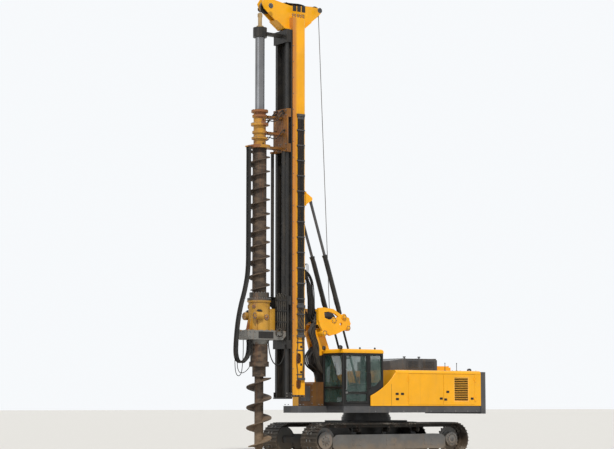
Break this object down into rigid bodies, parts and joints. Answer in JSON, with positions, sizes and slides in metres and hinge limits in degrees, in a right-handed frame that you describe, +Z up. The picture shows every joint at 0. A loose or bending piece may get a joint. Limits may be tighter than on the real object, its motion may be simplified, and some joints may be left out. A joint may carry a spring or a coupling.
{
  "type": "tracked rotary piling rig",
  "caption": "Tracked rotary piling rig: slewing house with cab, boom and yoke carrying a tilting mast, with a crowd sledge, rotary head and auger string.",
  "frame": {"origin": "middle of the whole machine's length and width, on the ground under the tracks", "axes": "+X towards the mast and drill string, +Y to the cab side, +Z up"},
  "size_m": [8.7449, 2.9, 14.1299],
  "materials": {
    "yellow_paint": "gloss yellow paint with dust and wear",
    "grey_paint": "satin dark grey paint",
    "frame_grey": "worn mid grey paint",
    "black_paint": "satin black paint, oily",
    "track_steel": "worn dark steel with dried soil",
    "cast_grey": "cast grey wheel",
    "bright_steel": "ground steel",
    "auger_steel": "rusty steel with soil",
    "drive_yellow": "dirty yellow paint with rust",
    "rope_tan": "dusty tan steel",
    "hose_rubber": "black hose rubber",
    "cab_black": "satin black cab frame",
    "cab_glass": "greenish safety glass",
    "grille_brown": "dusty brown slats",
    "chair_cloth": "dark cloth",
    "console_plastic": "dark grained plastic"
  },
  "bodies": {
    "undercarriage": {"track_left": "track_steel", "track_right": "track_steel", "track_frame_left": "frame_grey", "track_frame_right": "frame_grey", "idlers": "cast_grey", "sprockets": "cast_grey", "rollers": "track_steel", "car_body": "black_paint", "slew_ring": "black_paint"},
    "upper": {"deck_frame": "grey_paint", "deck_nose": "grey_paint", "nose_box": "drive_yellow", "counterweight": "grey_paint", "house_left": "yellow_paint", "house_right": "yellow_paint", "hood": "yellow_paint", "hood_box": "grey_paint", "engine_block": "cast_grey", "tank_box": "yellow_paint", "cab_shell": "cab_black", "cab_roof": "yellow_paint", "cab_glass": "cab_glass", "cab_stool": "chair_cloth", "cab_console": "console_plastic", "boom_bracket": "black_paint"},
    "cab_door": {"cab_door": "cab_black", "door_glass": "cab_glass"},
    "door_left_mid": {"door_left_mid": "yellow_paint"},
    "door_left_rear": {"door_left_rear": "yellow_paint", "grille_left": "grille_brown"},
    "door_right_mid": {"door_right_mid": "yellow_paint"},
    "door_right_rear": {"door_right_rear": "yellow_paint", "grille_right": "grille_brown"},
    "boom": {"boom": "black_paint", "boom_head": "yellow_paint", "boom_hoses": "hose_rubber"},
    "rear_link": {"rear_link": "black_paint"},
    "lift_barrel": {"lift_barrel": "black_paint"},
    "lift_rod": {"lift_rod": "bright_steel"},
    "yoke": {"yoke": "yellow_paint", "winch_drum": "grey_paint"},
    "stay_barrels": {"stay_barrels": "black_paint"},
    "stay_rods": {"stay_rods": "grey_paint"},
    "mast": {"mast_box": "yellow_paint", "mast_rails": "black_paint", "mast_head": "yellow_paint", "head_sheaves": "black_paint", "mast_pivot": "black_paint", "mast_hoses": "hose_rubber"},
    "crowd": {"lower_sledge": "black_paint", "rotary_head": "drive_yellow", "upper_sledge": "black_paint", "upper_swivel": "drive_yellow", "top_guide": "black_paint", "rope_swivel": "rope_tan", "head_hoses": "hose_rubber"},
    "string": {"string_stem": "auger_steel", "string_flights": "auger_steel", "steel_tube": "bright_steel"}
  },
  "joints": [
    {"name": "slew", "type": "hinge", "parent": "undercarriage", "child": "upper", "pos_m": [-0.5525, 0, 1.36], "axis": [0, 0, 1], "continuous": true},
    {"name": "boom_lift", "type": "hinge", "parent": "upper", "child": "boom", "pos_m": [0.8475, 0, 1.95], "axis": [0, 1, 0], "range_deg": [-3, 10]},
    {"name": "link_swing", "type": "hinge", "parent": "upper", "child": "rear_link", "pos_m": [-0.0625, 0, 2.13], "axis": [0, 1, 0], "range_deg": [-3, 10]},
    {"name": "yoke_level", "type": "hinge", "parent": "boom", "child": "yoke", "pos_m": [1.4375, 0, 3.8], "axis": [0, 1, 0], "range_deg": [-10, 3]},
    {"name": "lift_swing", "type": "hinge", "parent": "upper", "child": "lift_barrel", "pos_m": [0.1975, 0, 1.72], "axis": [0, 1, 0], "range_deg": [-2, 6.5]},
    {"name": "lift_stroke", "type": "slide", "parent": "lift_barrel", "child": "lift_rod", "axis": [0.5562, 0, 0.8311], "range_m": [-0.021, 0.069]},
    {"name": "mast_tilt", "type": "hinge", "parent": "yoke", "child": "mast", "pos_m": [1.8075, 0, 4.25], "axis": [0, 1, 0], "range_deg": [-15, 3.5]},
    {"name": "stay_swing", "type": "hinge", "parent": "yoke", "child": "stay_barrels", "pos_m": [0.6875, 0, 4.32], "axis": [0, 1, 0], "range_deg": [-14.4, 3.4]},
    {"name": "stay_stroke", "type": "slide", "parent": "stay_barrels", "child": "stay_rods", "axis": [0.3075, 0, 0.9515], "range_m": [-0.29, 0.069]},
    {"name": "crowd", "type": "slide", "parent": "mast", "child": "crowd", "axis": [0, 0, 1], "range_m": [-1.3, 0]},
    {"name": "string_spin", "type": "hinge", "parent": "crowd", "child": "string", "pos_m": [3.5075, 0, 4], "axis": [0, 0, 1], "continuous": true},
    {"name": "cab_door_swing", "type": "hinge", "parent": "upper", "child": "cab_door", "pos_m": [0.4015, 1.383, 2.4], "axis": [0, 0, 1], "range_deg": [0, 90]},
    {"name": "door_left_mid_swing", "type": "hinge", "parent": "upper", "child": "door_left_mid", "pos_m": [-1.1395, 1.433, 2.1], "axis": [0, 0, -1], "range_deg": [0, 100]},
    {"name": "door_left_rear_swing", "type": "hinge", "parent": "upper", "child": "door_left_rear", "pos_m": [-3.8455, 1.433, 2.1], "axis": [0, 0, 1], "range_deg": [0, 100]},
    {"name": "door_right_mid_swing", "type": "hinge", "parent": "upper", "child": "door_right_mid", "pos_m": [-1.1395, -1.433, 2.1], "axis": [0, 0, 1], "range_deg": [0, 100]},
    {"name": "door_right_rear_swing", "type": "hinge", "parent": "upper", "child": "door_right_rear", "pos_m": [-3.8455, -1.433, 2.1], "axis": [0, 0, -1], "range_deg": [0, 100]}
  ],
  "couplings": [
    {"joint": "link_swing", "follows": "boom_lift", "ratio": 1},
    {"joint": "yoke_level", "follows": "boom_lift", "ratio": -1},
    {"joint": "lift_swing", "follows": "boom_lift", "ratio": 0.64236},
    {"joint": "lift_stroke", "follows": "boom_lift", "m_per_rad": 0.39004},
    {"joint": "stay_swing", "follows": "mast_tilt", "ratio": 0.95361},
    {"joint": "stay_stroke", "follows": "mast_tilt", "m_per_rad": 1.1023}
  ]
}
